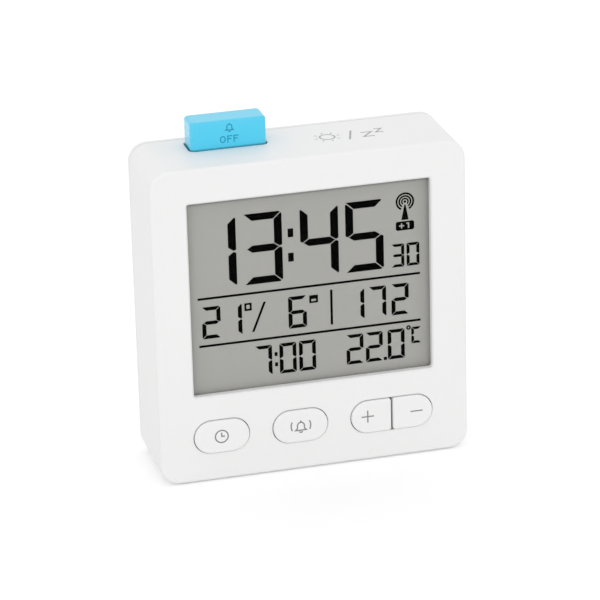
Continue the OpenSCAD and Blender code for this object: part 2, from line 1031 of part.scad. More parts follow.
module ferrite_rod() {
    color("dimgray")
        translate([-rod_l / 2, rod_y, rod_z])
            rotate([0, 90, 0])
                cylinder(h = rod_l, r = rod_r, $fn = round_fn);
}

module antenna_bobbin() {
    bore = rod_r + running_fit;
    color("ivory") {
        antenna_ring(bobbin_l / 2, bore, bore + bobbin_t);
        for (s = [-1, 1])
            translate([s * (bobbin_l - bobbin_rim_t) / 2, 0, 0])
                antenna_ring(bobbin_rim_t / 2, bore, bore + bobbin_rim);
    }
}

module antenna_coil() {
    inner = rod_r + running_fit + bobbin_t;
    color("peru")
        antenna_ring(bobbin_l / 2 - bobbin_rim_t, inner, inner + winding_t);
}

module sounder_disc() {
    color("goldenrod")
        rod([sound_x, sound_z], [cover_y - sound_ring_h - disc_t, cover_y - sound_ring_h], disc_r);
}

module sounder_ceramic() {
    back = cover_y - sound_ring_h - disc_t;
    color("white")
        rod([sound_x, sound_z], [back - ceramic_t, back], ceramic_r);
}

module temperature_sensor() {
    color("black")
        translate([vent_x, bead_y, vent_z])
            sphere(bead_r, $fn = round_fn);
    color("silver")
        for (s = [-1, 1])
            rod([vent_x + s * bead_pins / 2, vent_z], [board_back, bead_y], pin_wire);
}

// A cell whose cap points along s
module cell(z, s) {
    start = s * (bay_w / 2 - contact_t - cell_l);
    body = cell_l - cell_cap;
    translate([start, cell_y, z])
        rotate([0, s * 90, 0])
            rotate_extrude($fn = round_fn)
                polygon([
                    [0, 0], [cell_r - cell_edge, 0], [cell_r, cell_edge], [cell_r, body - cell_edge],
                    [cell_r - cell_edge, body], [cap_r, body], [cap_r, cell_l], [0, cell_l]
                ]);
}

module battery_cells() {
    color("slategray") {
        cell(low_cell_z, 1);
        cell(high_cell_z, -1);
    }
}

module battery_springs() {
    color("silver")
        for (s = [-1, 1])
            translate([s * (bay_w / 2 - contact_t), cell_y, s < 0 ? low_cell_z : high_cell_z])
                rotate([0, -s * 90, 0])
                    coil(coil_big_r, coil_small_r, spring_space, coil_turns, coil_wire);
}

module contact(s, z) {
    slab(side(s, bay_w / 2 - contact_t, bay_w / 2), [cell_y - contact_w / 2, cell_y + contact_w / 2], z);
}

// The tab that reaches through the side wall of the bay to its lead
module contact_tab(z, end, grow) {
    slab(
        [bay_w / 2 - contact_t, end],
        [cell_y - tab_w / 2 - grow, cell_y + tab_w / 2 + grow],
        [z - contact_t / 2 - grow, z + contact_t / 2 + grow]
    );
}

module battery_contacts() {
    half = contact_w / 2;
    color("silver") {
        contact(-1, [low_cell_z - half, high_cell_z + half]);
        for (z = [low_cell_z, high_cell_z]) {
            contact(1, [z - half, z + half]);
            contact_tab(z, tab_end, 0);
        }
    }
}

// Leads run from the ends of the tabs to the back of the board
module battery_leads() {
    bow = bow_share * (cell_y - board_back);
    color("firebrick")
        for (z = [low_cell_z, high_cell_z])
            lead(
                [tab_end, cell_y, z], [bow_share * lead_run, 0, 0],
                [tab_end + lead_run, board_back, z], [0, bow, 0], [0, 0, 1]
            );
}

module sounder_leads() {
    back = cover_y - sound_ring_h - disc_t;
    bow = bow_share * (back - board_back);
    color("firebrick")
        for (s = [-1, 1])
            lead(
                [sound_x + s * (ceramic_r + disc_r) / 2, back, sound_z], [0, -bow, 0],
                [sound_x + s * lead_apart, board_back, sound_z - 3 * lead_run], [0, bow, 0], [1, 0, 0]
            );
}

module antenna_leads() {
    start_y = rod_y - rod_r - running_fit - bobbin_rim / 2;
    bow = bow_share * (start_y - board_back);
    color("peru")
        for (s = [-1, 1])
            lead(
                [s * bobbin_l / 2, start_y, rod_z], [s * bow_share * lead_run, 0, 0],
                [s * (bobbin_l / 2 + lead_run), board_back, rod_z], [0, bow, 0], [0, 0, 1]
            );
}

module switch_leads() {
    low = latch_low - small_board_t;
    drop = 2 * lead_run;
    bow = bow_share * (off_y - board_back);
    color("firebrick")
        for (s = [-1, 0, 1])
            lead(
                [off_x + s * lead_apart, off_y, low], [0, 0, -bow_share * drop],
                [off_x + s * lead_apart, board_back, low - drop], [0, bow, 0], [1, 0, 0]
            );
}

module touch_lead() {
    start = [touch_x - touch_w / 4, front_y + body_d / 2, ceiling_z - touch_t];
    end = [start.x, board_back, board_high - lead_run];
    color("firebrick")
        lead(
            start, [0, 0, bow_share * (end.z - start.z)],
            end, [0, bow_share * (start.y - end.y), 0], [1, 0, 0]
        );
}

module screw_slot(p, y) {
    for (turn = [0, 90])
        translate([p[0], y, p[1]])
            rotate([0, turn, 0])
                slab([-board_head_r / 2, board_head_r / 2], [-slot_w, slot_w], [-slot_w / 2, slot_w / 2]);
}

module board_screws() {
    color("silver")
        for (p = boss_places)
            difference() {
                union() {
                    rod(p, [board_back, board_back + board_head_t], board_head_r);
                    rod(p, [board_y - board_screw_bite, board_back + over], board_screw_r);
                }
                screw_slot(p, board_back + board_head_t);
            }
}

module case_screws() {
    seat = back_y - sink_depth;
    color("silver")
        for (p = post_places)
            difference() {
                union() {
                    rod(p, [seat, seat + screw_head_t], screw_head_r);
                    rod(p, [cover_y - screw_bite, seat + screw_head_t / 2], screw_r);
                }
                screw_slot(p, seat + screw_head_t);
            }
}

module rubber_feet() {
    color("dimgray")
        foot_places()
            cylinder(h = foot_proud + foot_sink, r = foot_r, $fn = round_fn);
}

module time_key() { color("white") front_key(time_x); }
module alarm_key() { color("white") front_key(alarm_x); }
module plus_key() { color("white") half_key(-1); }
module minus_key() { color("white") half_key(1); }
module time_switch_button() { switch_button(time_x); }
module alarm_switch_button() { switch_button(alarm_x); }
module plus_switch_button() { switch_button(plus_x); }
module minus_switch_button() { switch_button(minus_x); }

front_housing();
rear_cover();
battery_door();
display_window();
front_polariser();
lcd_front_glass();
lcd_rear_glass();
rear_polariser();
light_guide();
backlight_led();
lcd_holder();
contact_strip();
main_board();
controller_blob();
receiver_chip();
quartz_crystal();
capacitor();
key_switches();
time_key();
alarm_key();
plus_key();
minus_key();
time_switch_button();
alarm_switch_button();
plus_switch_button();
minus_switch_button();
alarm_off_key();
switch_plunger();
switch_spring();
latching_switch();
switch_board();
touch_plate();
ferrite_rod();
antenna_bobbin();
antenna_coil();
sounder_disc();
sounder_ceramic();
temperature_sensor();
battery_cells();
battery_springs();
battery_contacts();
battery_leads();
sounder_leads();
antenna_leads();
switch_leads();
touch_lead();
board_screws();
case_screws();
rubber_feet();
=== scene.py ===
import math

import bmesh
import bpy
from mathutils import Matrix, Vector


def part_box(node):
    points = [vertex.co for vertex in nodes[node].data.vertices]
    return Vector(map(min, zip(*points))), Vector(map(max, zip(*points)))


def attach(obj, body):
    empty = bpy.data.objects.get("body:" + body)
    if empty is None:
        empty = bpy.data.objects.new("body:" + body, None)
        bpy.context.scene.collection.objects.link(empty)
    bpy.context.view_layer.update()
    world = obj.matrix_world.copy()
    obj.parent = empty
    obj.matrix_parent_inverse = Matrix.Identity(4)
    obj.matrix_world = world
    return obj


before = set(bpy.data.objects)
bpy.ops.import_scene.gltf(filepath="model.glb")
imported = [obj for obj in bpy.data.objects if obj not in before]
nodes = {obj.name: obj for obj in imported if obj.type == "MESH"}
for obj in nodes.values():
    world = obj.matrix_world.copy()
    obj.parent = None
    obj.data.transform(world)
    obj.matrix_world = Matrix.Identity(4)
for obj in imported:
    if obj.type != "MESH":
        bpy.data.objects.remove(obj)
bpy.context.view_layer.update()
scene = bpy.context.scene
mm = 0.001
print("frame:", len(nodes), "nodes")


# camera: a long lens, from the left and above, with the slight roll of the photo
photoView = {
    "focalPixels": 3373.0,
    "imagePixels": 600.0,
    "sensor": 36.0,
    "near": 0.05,
    "far": 20.0,
    "azimuth": -14.538,
    "elevation": 21.535,
    "roll": -1.542,
    "target": (0.13, 0.41, 43.175),   # in millimetres, as the distance is
    "distance": 903.0,
}


def makeCamera(view):
    turn, rise, roll = (math.radians(view[k]) for k in ("azimuth", "elevation", "roll"))
    back = Vector((math.sin(turn) * math.cos(rise), -math.cos(turn) * math.cos(rise), math.sin(rise)))
    right = Vector((0, 0, 1)).cross(back).normalized()
    up = back.cross(right)
    across = right * math.cos(roll) + up * math.sin(roll)
    over = up * math.cos(roll) - right * math.sin(roll)
    data = bpy.data.cameras.new("photoCamera")
    data.sensor_width = view["sensor"]
    data.lens = view["focalPixels"] / view["imagePixels"] * view["sensor"]
    data.clip_start, data.clip_end = view["near"], view["far"]
    camera = bpy.data.objects.new("photoCamera", data)
    scene.collection.objects.link(camera)
    place = (Vector(view["target"]) + back * view["distance"]) * mm
    camera.matrix_world = Matrix.Translation(place) @ Matrix((across, over, back)).transposed().to_4x4()
    scene.camera = camera


makeCamera(photoView)
print("camera: set")


# rounded edges shade as one surface, and flat faces stay flat
shadingLook = {"sharpFrom": 32, "weight": 100}


def softenShading(look):
    for node in nodes.values():
        node.data.shade_smooth()
        node.data.set_sharp_from_angle(angle=math.radians(look["sharpFrom"]))
        weigh = node.modifiers.new("evenShading", "WEIGHTED_NORMAL")
        weigh.keep_sharp = True
        weigh.weight = look["weight"]


softenShading(shadingLook)
print("shading: rounded edges smoothed")


# flat prints and segments: outlines in a local plane, given a little thickness
frontPlane = Matrix(((1, 0, 0), (0, 0, -1), (0, 1, 0))).to_4x4()   # u right, v up, w to the viewer
topPlane = Matrix.Identity(4)                                       # u right, v back, w up
sharpestMitre = 0.35   # a sharper corner of a stroke is cut short
joinWithin = 0.002     # points closer than this are one


def inset(outline, by):
    # moves every side of a convex outline inwards, so that neighbours keep a gap
    sides = list(zip(outline, outline[1:] + outline[:1]))
    area = sum(a[0] * b[1] - b[0] * a[1] for a, b in sides)
    inwards = by if area > 0 else -by
    lines = []
    for a, b in sides:
        along = (Vector(b) - Vector(a)).normalized()
        lines.append((Vector(a) + Vector((-along.y, along.x)) * inwards, along))
    points = []
    for (p, d), (q, e) in zip(lines[-1:] + lines[:-1], lines):
        cross = d.x * e.y - d.y * e.x
        t = ((q.x - p.x) * e.y - (q.y - p.y) * e.x) / cross
        points.append((p.x + d.x * t, p.y + d.y * t))
    return points


def strokeQuads(points, width, closed=False):
    # a line of constant width with mitred corners, as quads
    pts = [Vector(p) for p in points]
    count = len(pts)
    left, right = [], []
    for i, p in enumerate(pts):
        dirs = []
        if closed or i > 0:
            dirs.append((p - pts[i - 1]).normalized())
        if closed or i < count - 1:
            dirs.append((pts[(i + 1) % count] - p).normalized())
        along = sum(dirs, Vector((0, 0))).normalized()
        normal = Vector((-along.y, along.x))
        reach = width / 2 / max(sharpestMitre, normal.dot(Vector((-dirs[0].y, dirs[0].x))))
        left.append(p + normal * reach)
        right.append(p - normal * reach)
    quads = []
    for i in range(count if closed else count - 1):
        j = (i + 1) % count
        quads.append([tuple(corner) for corner in (right[i], right[j], left[j], left[i])])
    return quads


def arc(centre, radius, start, end, steps):
    turns = [math.radians(start + (end - start) * i / steps) for i in range(steps + 1)]
    return [(centre[0] + radius * math.cos(t), centre[1] + radius * math.sin(t)) for t in turns]


def ring(centre, radius, width, steps=28):
    return strokeQuads(arc(centre, radius, 0, 360, steps)[:-1], width, closed=True)


def disc(centre, radius, steps=24):
    return [arc(centre, radius, 0, 360, steps)[:-1]]


def bar(x0, z0, x1, z1):
    return [(x0, z0), (x1, z0), (x1, z1), (x0, z1)]


def slantedBar(x0, z0, x1, z1, width):
    return [(x0 - width / 2, z0), (x0 + width / 2, z0), (x1 + width / 2, z1), (x1 - width / 2, z1)]


def moved(shapes, by):
    return [[(p[0] + by[0], p[1] + by[1]) for p in shape] for shape in shapes]


def makePrint(name, shapes, plane, origin, thickness, material, body):
    # shapes are in millimetres in the plane; neighbours that share points are joined first
    bm = bmesh.new()
    for shape in shapes:
        bm.faces.new([bm.verts.new((p[0] * mm, p[1] * mm, 0)) for p in shape])
    bmesh.ops.remove_doubles(bm, verts=bm.verts, dist=joinWithin * mm)
    bmesh.ops.recalc_face_normals(bm, faces=bm.faces)
    for face in bm.faces:
        if face.normal.z < 0:
            face.normal_flip()
    made = bmesh.ops.extrude_face_region(bm, geom=list(bm.faces))
    raised = [v for v in made["geom"] if isinstance(v, bmesh.types.BMVert)]
    bmesh.ops.translate(bm, verts=raised, vec=(0, 0, thickness * mm))
    bmesh.ops.recalc_face_normals(bm, faces=bm.faces)
    mesh = bpy.data.meshes.new(name)
    bm.to_mesh(mesh)
    bm.free()
    mesh.transform(Matrix.Translation(Vector(origin) * mm) @ plane)
    mesh.materials.append(material)
    piece = bpy.data.objects.new(name, mesh)
    scene.collection.objects.link(piece)
    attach(piece, body)
    return piece


# small tools for node trees; a Mix node's colours are its inputs 6 and 7 and its output 2
def startMaterial(name):
    material = bpy.data.materials.new(name)
    material.use_nodes = True
    tree = material.node_tree
    shader = next(n for n in tree.nodes if n.type == "BSDF_PRINCIPLED")
    return material, tree, shader


def feed(tree, socket, value):
    # a link from another node, or a plain value
    if isinstance(value, bpy.types.NodeSocket):
        tree.links.new(value, socket)
    else:
        socket.default_value = value


def placeOn(tree):
    # where a point lies on its piece: the place in the clock, for every piece sits at the origin
    return tree.nodes.new("ShaderNodeTexCoord").outputs["Object"]


def splitPlace(tree):
    split = tree.nodes.new("ShaderNodeSeparateXYZ")
    tree.links.new(placeOn(tree), split.inputs[0])
    return split.outputs


def addMath(tree, operation, a, b=None, clamp=False):
    node = tree.nodes.new("ShaderNodeMath")
    node.operation = operation
    node.use_clamp = clamp
    feed(tree, node.inputs[0], a)
    if b is not None:
        feed(tree, node.inputs[1], b)
    return node.outputs[0]


def plus(tree, a, b, clamp=False):
    return addMath(tree, "ADD", a, b, clamp)


def minus(tree, a, b, clamp=False):
    return addMath(tree, "SUBTRACT", a, b, clamp)


def times(tree, a, b, clamp=False):
    return addMath(tree, "MULTIPLY", a, b, clamp)


def addNoise(tree, vector, scale, detail=2.0, roughness=0.5):
    node = tree.nodes.new("ShaderNodeTexNoise")
    node.inputs["Detail"].default_value = detail
    node.inputs["Roughness"].default_value = roughness
    tree.links.new(vector, node.inputs["Vector"])
    feed(tree, node.inputs["Scale"], scale)
    return node.outputs["Fac"]


def addTint(tree, colour, factor):
    # multiplies a colour by a grey value
    node = tree.nodes.new("ShaderNodeMix")
    node.data_type, node.blend_type = "RGBA", "MULTIPLY"
    feed(tree, node.inputs[0], 1.0)
    feed(tree, node.inputs[6], colour)
    feed(tree, node.inputs[7], factor)
    return node.outputs[2]


def addMix(tree, factor, a, b):
    node = tree.nodes.new("ShaderNodeMix")
    node.data_type = "RGBA"
    feed(tree, node.inputs[0], factor)
    feed(tree, node.inputs[6], a)
    feed(tree, node.inputs[7], b)
    return node.outputs[2]


def addBump(tree, height, strength, distance, normal=None):
    bump = tree.nodes.new("ShaderNodeBump")
    bump.inputs["Strength"].default_value = strength
    bump.inputs["Distance"].default_value = distance
    tree.links.new(height, bump.inputs["Height"])
    if normal is not None:
        tree.links.new(normal, bump.inputs["Normal"])
    return bump.outputs["Normal"]


# shared effects, each a node group with named sockets
def newGroup(name, inputs, outputs):
    group = bpy.data.node_groups.new(name, "ShaderNodeTree")
    for label, kind, value in inputs:
        socket = group.interface.new_socket(name=label, in_out="INPUT", socket_type=kind)
        socket.default_value = value
    for label, kind in outputs:
        group.interface.new_socket(name=label, in_out="OUTPUT", socket_type=kind)
    return group, group.nodes.new("NodeGroupInput").outputs, group.nodes.new("NodeGroupOutput").inputs


def useGroup(tree, group, values):
    node = tree.nodes.new("ShaderNodeGroup")
    node.node_tree = group
    for label, value in values.items():
        node.inputs[label].default_value = value
    return node


skinOutputs = [("Color", "NodeSocketColor"), ("Roughness", "NodeSocketFloat"), ("Height", "NodeSocketFloat")]
grainScales = {"flow": 55.0, "dust": 700.0, "dustShare": 0.6}
tarnishScales = {"cloud": 260.0, "clean": 0.4, "lineRough": 0.16, "cloudRough": 0.18, "middle": 0.17}


def makeMouldGrain(scales):
    # moulded plastic: spark-eroded grain, soft flow marks and a faint haze of dust
    group, given, put = newGroup(
        "mouldGrain",
        [
            ("Color", "NodeSocketColor", (0.8, 0.8, 0.8, 1)),
            ("Grain", "NodeSocketFloat", 9000.0),
            ("Mottle", "NodeSocketFloat", 0.02),
            ("Roughness", "NodeSocketFloat", 0.45),
            ("Spread", "NodeSocketFloat", 0.1),
        ],
        skinOutputs,
    )
    where = placeOn(group)
    fine = addNoise(group, where, given["Grain"], detail=3.0, roughness=0.6)
    flow = addNoise(group, where, scales["flow"])
    dust = addNoise(group, where, scales["dust"], detail=4.0, roughness=0.7)
    tone = plus(group, 1.0, times(group, minus(group, flow, 0.5), given["Mottle"]))
    haze = times(group, given["Mottle"], scales["dustShare"])
    speck = times(group, minus(group, dust, 0.5), haze)
    group.links.new(addTint(group, given["Color"], plus(group, tone, speck)), put["Color"])
    uneven = times(group, minus(group, plus(group, flow, dust), 1.0), given["Spread"])
    group.links.new(plus(group, given["Roughness"], uneven, clamp=True), put["Roughness"])
    group.links.new(fine, put["Height"])
    return group


def makeEdgeWearAndHighlight():
    # where a rounded edge departs from the flat face: a mask for slightly polished edges, which also carries
    # a painted highlight along them
    group, given, put = newGroup(
        "edgeWearAndHighlight",
        [("Radius", "NodeSocketFloat", 0.0005), ("Strength", "NodeSocketFloat", 1.0)],
        [("Mask", "NodeSocketFloat"), ("Normal", "NodeSocketVector")],
    )
    bevel = group.nodes.new("ShaderNodeBevel")
    bevel.samples = 4
    group.links.new(given["Radius"], bevel.inputs["Radius"])
    match = group.nodes.new("ShaderNodeVectorMath")
    match.operation = "DOT_PRODUCT"
    group.links.new(bevel.outputs["Normal"], match.inputs[0])
    group.links.new(group.nodes.new("ShaderNodeNewGeometry").outputs["Normal"], match.inputs[1])
    away = minus(group, 1.0, match.outputs["Value"], clamp=True)
    group.links.new(times(group, away, given["Strength"], clamp=True), put["Mask"])
    group.links.new(bevel.outputs["Normal"], put["Normal"])
    return group


def makeDrawnMetal(scales):
    # rolled or plated metal: fine streaks along one direction and cloudy tarnish
    group, given, put = newGroup(
        "drawnMetal",
        [
            ("Color", "NodeSocketColor", (0.7, 0.7, 0.7, 1)),
            ("Streaks", "NodeSocketVector", (300.0, 4000.0, 4000.0)),
            ("Tarnish", "NodeSocketFloat", 0.15),
            ("Roughness", "NodeSocketFloat", 0.3),
        ],
        skinOutputs,
    )
    where = placeOn(group)
    stretch = group.nodes.new("ShaderNodeVectorMath")
    stretch.operation = "MULTIPLY"
    group.links.new(where, stretch.inputs[0])
    group.links.new(given["Streaks"], stretch.inputs[1])
    lines = addNoise(group, stretch.outputs["Vector"], scale=1.0)
    cloud = addNoise(group, where, scales["cloud"], detail=4.0, roughness=0.65)
    dark = times(group, minus(group, cloud, scales["clean"], clamp=True), given["Tarnish"])
    group.links.new(addTint(group, given["Color"], minus(group, 1.0, dark)), put["Color"])
    rough = plus(group, times(group, lines, scales["lineRough"]), times(group, cloud, scales["cloudRough"]))
    uneven = minus(group, rough, scales["middle"])
    group.links.new(plus(group, given["Roughness"], uneven, clamp=True), put["Roughness"])
    group.links.new(lines, put["Height"])
    return group


mouldGrain = makeMouldGrain(grainScales)
edgeWearAndHighlight = makeEdgeWearAndHighlight()
drawnMetal = makeDrawnMetal(tarnishScales)


# every plastic starts from these values and names only what differs
usualPlastic = {
    "grain": 9000.0, "mottle": 0.02, "spread": 0.12, "bump": 0.25, "bumpDeep": 0.02,
    "edge": 0.25, "edgeStrength": 3.0, "edgeHighlight": 0.06, "polish": 0.12, "sheenCoat": 0.0, "coatRoughness": 0.22,
}
usualMetal = {"streaks": (300.0, 4000.0, 4000.0), "tarnish": 0.3, "bump": 0.3, "bumpDeep": 0.01}
usualInk = {"mesh": 3500.0, "thin": 1.35, "thinFloor": 0.001, "uneven": 0.15, "bumpDeep": 0.005, "gloss": 0.5}


def makePlastic(name, look):
    look = {**usualPlastic, **look}
    material, tree, shader = startMaterial(name)
    skin = useGroup(tree, mouldGrain, {
        "Color": (*look["colour"], 1), "Grain": look["grain"], "Mottle": look["mottle"],
        "Roughness": look["roughness"], "Spread": look["spread"],
    }).outputs
    soft = useGroup(tree, edgeWearAndHighlight, {"Radius": look["edge"] * mm, "Strength": look["edgeStrength"]}).outputs
    # the edge mask lightens the colour here: a painted highlight along the rounded edges
    highlightColour = tuple(min(1.0, c + look["edgeHighlight"]) for c in look["colour"])
    tree.links.new(addMix(tree, soft["Mask"], skin["Color"], (*highlightColour, 1)), shader.inputs["Base Color"])
    polished = minus(tree, skin["Roughness"], times(tree, soft["Mask"], look["polish"]), clamp=True)
    tree.links.new(polished, shader.inputs["Roughness"])
    grain = addBump(tree, skin["Height"], look["bump"], look["bumpDeep"] * mm, soft["Normal"])
    tree.links.new(grain, shader.inputs["Normal"])
    shader.inputs["Coat Weight"].default_value = look["sheenCoat"]
    shader.inputs["Coat Roughness"].default_value = look["coatRoughness"]
    return material


def makeMetal(name, look):
    look = {**usualMetal, **look}
    material, tree, shader = startMaterial(name)
    skin = useGroup(tree, drawnMetal, {
        "Color": (*look["colour"], 1), "Streaks": look["streaks"],
        "Tarnish": look["tarnish"], "Roughness": look["roughness"],
    }).outputs
    tree.links.new(skin["Color"], shader.inputs["Base Color"])
    tree.links.new(skin["Roughness"], shader.inputs["Roughness"])
    lines = addBump(tree, skin["Height"], look["bump"], look["bumpDeep"] * mm)
    tree.links.new(lines, shader.inputs["Normal"])
    shader.inputs["Metallic"].default_value = 1.0
    return material


def makeInk(name, look):
    # screen-printed ink: slightly uneven cover and a faint dimple from the mesh of the screen
    look = {**usualInk, **look}
    material, tree, shader = startMaterial(name)
    cover = addNoise(tree, placeOn(tree), look["mesh"], detail=3.0, roughness=0.7)
    thin = tuple(min(1.0, c * look["thin"] + look["thinFloor"]) for c in look["colour"])
    tree.links.new(addMix(tree, cover, (*look["colour"], 1), (*thin, 1)), shader.inputs["Base Color"])
    rough = plus(tree, look["roughness"], times(tree, cover, look["uneven"]))
    tree.links.new(rough, shader.inputs["Roughness"])
    dimple = addBump(tree, cover, look["uneven"], look["bumpDeep"] * mm)
    tree.links.new(dimple, shader.inputs["Normal"])
    shader.inputs["Specular IOR Level"].default_value = look["gloss"]
    return material


def dress(material, *names):
    for name in names:
        data = nodes[name].data
        data.materials.clear()
        data.materials.append(material)


# housing: satin white moulding, with a slightly coarser cover and door
shellLook = {
    "colour": (0.87, 0.87, 0.868), "roughness": 0.46, "mottle": 0.025,
    "bump": 0.22, "edge": 0.3, "edgeHighlight": 0.08,
}
coverLook = {**shellLook, "roughness": 0.5, "bump": 0.35, "grain": 6500.0}
doorLook = {**shellLook, "roughness": 0.48, "edge": 0.2, "grain": 7500.0}
dress(makePlastic("shellPlastic", shellLook), "front_housing")
dress(makePlastic("coverPlastic", coverLook), "rear_cover")
dress(makePlastic("doorPlastic", doorLook), "battery_door")

# front keys: the same white, moulded in a smoother tool
keyLook = {"colour": (0.875, 0.875, 0.873), "roughness": 0.4, "mottle": 0.015, "bump": 0.12, "edgeHighlight": 0.09}
dress(makePlastic("keyPlastic", keyLook), "time_key", "alarm_key", "plus_key", "minus_key")

# alarm-off key: sky blue, a little glossier, with painted shade in a line where it leaves its slot
offLook = {
    "colour": (0.06, 0.612, 0.872), "roughness": 0.3, "mottle": 0.05, "bump": 0.1,
    "edge": 0.8, "edgeHighlight": 0.09, "sheenCoat": 0.5, "footStart": 88.2, "footHigh": 0.55, "footDark": 0.45,
}


def shadeFoot(material, look):
    # painted shade: the colour darkens towards the foot of the key, where it leaves its slot
    tree = material.node_tree
    shader = next(n for n in tree.nodes if n.type == "BSDF_PRINCIPLED")
    colour = shader.inputs["Base Color"].links[0].from_socket
    above = minus(tree, splitPlace(tree)["Z"], look["footStart"] * mm)
    rise = addMath(tree, "DIVIDE", above, look["footHigh"] * mm, clamp=True)
    shade = plus(tree, 1.0 - look["footDark"], times(tree, rise, look["footDark"]))
    tree.links.new(addTint(tree, colour, shade), shader.inputs["Base Color"])


offPlastic = makePlastic("offPlastic", offLook)
shadeFoot(offPlastic, offLook)
dress(offPlastic, "alarm_off_key")

# small inner mouldings: what each plastic looks like, and what is made of it
smallEdge = 0.1
innerPlastics = {
    "darkResin": (
        {"colour": (0.035, 0.035, 0.038), "roughness": 0.5, "grain": 7000.0, "mottle": 0.2, "bump": 0.4},
        ("receiver_chip", "key_switches", "temperature_sensor"),
    ),
    "potResin": (
        {"colour": (0.012, 0.012, 0.013), "roughness": 0.28, "grain": 2500.0, "mottle": 0.3, "bump": 0.15},
        ("controller_blob",),
    ),
    "greyMoulding": (
        {"colour": (0.2, 0.2, 0.21), "roughness": 0.45, "mottle": 0.06},
        (
            "time_switch_button", "alarm_switch_button", "plus_switch_button", "minus_switch_button",
            "latching_switch",
        ),
    ),
    "ivoryMoulding": (
        {"colour": (0.66, 0.62, 0.5), "roughness": 0.42, "mottle": 0.05},
        ("switch_plunger", "antenna_bobbin"),
    ),
    "paleFrame": (
        {"colour": (0.78, 0.79, 0.77), "roughness": 0.4, "mottle": 0.03, "edge": 0.15},
        ("lcd_holder",),
    ),
    "milkyGuide": (
        {"colour": (0.84, 0.86, 0.84), "roughness": 0.18, "grain": 3000.0, "mottle": 0.03, "bump": 0.1},
        ("light_guide",),
    ),
    "ledResin": (
        {"colour": (0.85, 0.78, 0.4), "roughness": 0.2, "mottle": 0.05, "bump": 0.05},
        ("backlight_led",),
    ),
    "ferriteCore": (
        {"colour": (0.05, 0.05, 0.055), "roughness": 0.6, "grain": 4000.0, "mottle": 0.35, "bump": 0.8},
        ("ferrite_rod",),
    ),
    "footRubber": (
        {
            "colour": (0.16, 0.16, 0.165), "roughness": 0.75, "grain": 5000.0,
            "mottle": 0.2, "bump": 0.6, "edge": 0.2,
        },
        ("rubber_feet",),
    ),
    "leadInsulation": (
        {
            "colour": (0.42, 0.02, 0.015), "roughness": 0.4, "grain": 2500.0,
            "mottle": 0.15, "bump": 0.2, "edge": 0.05,
        },
        ("battery_leads", "sounder_leads", "switch_leads", "touch_lead"),
    ),
    "ceramicSilver": (
        {
            "colour": (0.62, 0.61, 0.58), "roughness": 0.35, "grain": 5000.0,
            "mottle": 0.12, "bump": 0.4, "edge": 0.05,
        },
        ("sounder_ceramic",),
    ),
    "capSleeve": (
        {"colour": (0.01, 0.015, 0.06), "roughness": 0.3, "grain": 3000.0, "mottle": 0.2, "bump": 0.1},
        ("capacitor",),
    ),
}
for plasticName, (look, wearers) in innerPlastics.items():
    dress(makePlastic(plasticName, {"edge": smallEdge, **look}), *wearers)

# metal pieces: the streaks run along the direction with the small number
metals = {
    "nickelPlate": (
        {"colour": (0.72, 0.71, 0.69), "roughness": 0.3},
        ("switch_spring", "battery_springs", "battery_contacts", "quartz_crystal"),
    ),
    "zincPlate": (
        {"colour": (0.66, 0.67, 0.69), "roughness": 0.34, "streaks": (2500.0, 2500.0, 2500.0)},
        ("board_screws", "case_screws"),
    ),
    "rolledBrass": (
        {"colour": (0.72, 0.52, 0.2), "roughness": 0.3, "streaks": (250.0, 3500.0, 3500.0), "tarnish": 0.5},
        ("sounder_disc",),
    ),
    "copperWire": (
        {"colour": (0.72, 0.33, 0.16), "roughness": 0.32, "streaks": (9000.0, 300.0, 300.0), "tarnish": 0.4},
        ("antenna_coil", "antenna_leads", "touch_plate"),
    ),
}
for metalName, (look, wearers) in metals.items():
    dress(makeMetal(metalName, look), *wearers)


# circuit boards: green mask over faint copper tracks
boardLook = {
    "mask": (0.015, 0.12, 0.045), "track": (0.03, 0.19, 0.075), "shade": 0.85,
    "pitch": 420.0, "trackWide": 0.03, "roughness": 0.32, "weave": 2500.0, "weaveRough": 0.12,
    "bump": 0.4, "bumpDeep": 0.03,
}


def makeBoard(look):
    material, tree, shader = startMaterial("solderMask")
    where = placeOn(tree)
    tracks = tree.nodes.new("ShaderNodeTexBrick")
    tracks.inputs["Scale"].default_value = look["pitch"]
    tracks.inputs["Color1"].default_value = (*look["mask"], 1)
    tracks.inputs["Color2"].default_value = (*(c * look["shade"] for c in look["mask"]), 1)
    tracks.inputs["Mortar"].default_value = (*look["track"], 1)
    tracks.inputs["Mortar Size"].default_value = look["trackWide"]
    turned = tree.nodes.new("ShaderNodeVectorRotate")   # the pattern lies in the upright plane of the board
    turned.inputs["Angle"].default_value = math.radians(90)
    turned.inputs["Axis"].default_value = (1, 0, 0)
    tree.links.new(where, turned.inputs["Vector"])
    tree.links.new(turned.outputs["Vector"], tracks.inputs["Vector"])
    tree.links.new(tracks.outputs["Color"], shader.inputs["Base Color"])
    glass = addNoise(tree, where, look["weave"])
    rough = plus(tree, look["roughness"], times(tree, glass, look["weaveRough"]))
    tree.links.new(rough, shader.inputs["Roughness"])
    raised = addBump(tree, tracks.outputs["Fac"], look["bump"], look["bumpDeep"] * mm)
    tree.links.new(raised, shader.inputs["Normal"])
    return material


dress(makeBoard(boardLook), "main_board", "switch_board")

# contact strip: thin black and pale layers in turn
stripLook = {"pitch": 2600.0, "dark": (0.02, 0.02, 0.02), "pale": (0.5, 0.48, 0.45), "roughness": 0.7}


def makeStrip(look):
    material, tree, shader = startMaterial("layeredRubber")
    wave = tree.nodes.new("ShaderNodeTexWave")
    wave.bands_direction = "X"
    wave.inputs["Scale"].default_value = look["pitch"]
    tree.links.new(placeOn(tree), wave.inputs["Vector"])
    layers = addMix(tree, wave.outputs["Fac"], (*look["dark"], 1), (*look["pale"], 1))
    tree.links.new(layers, shader.inputs["Base Color"])
    shader.inputs["Roughness"].default_value = look["roughness"]
    return material


dress(makeStrip(stripLook), "contact_strip")


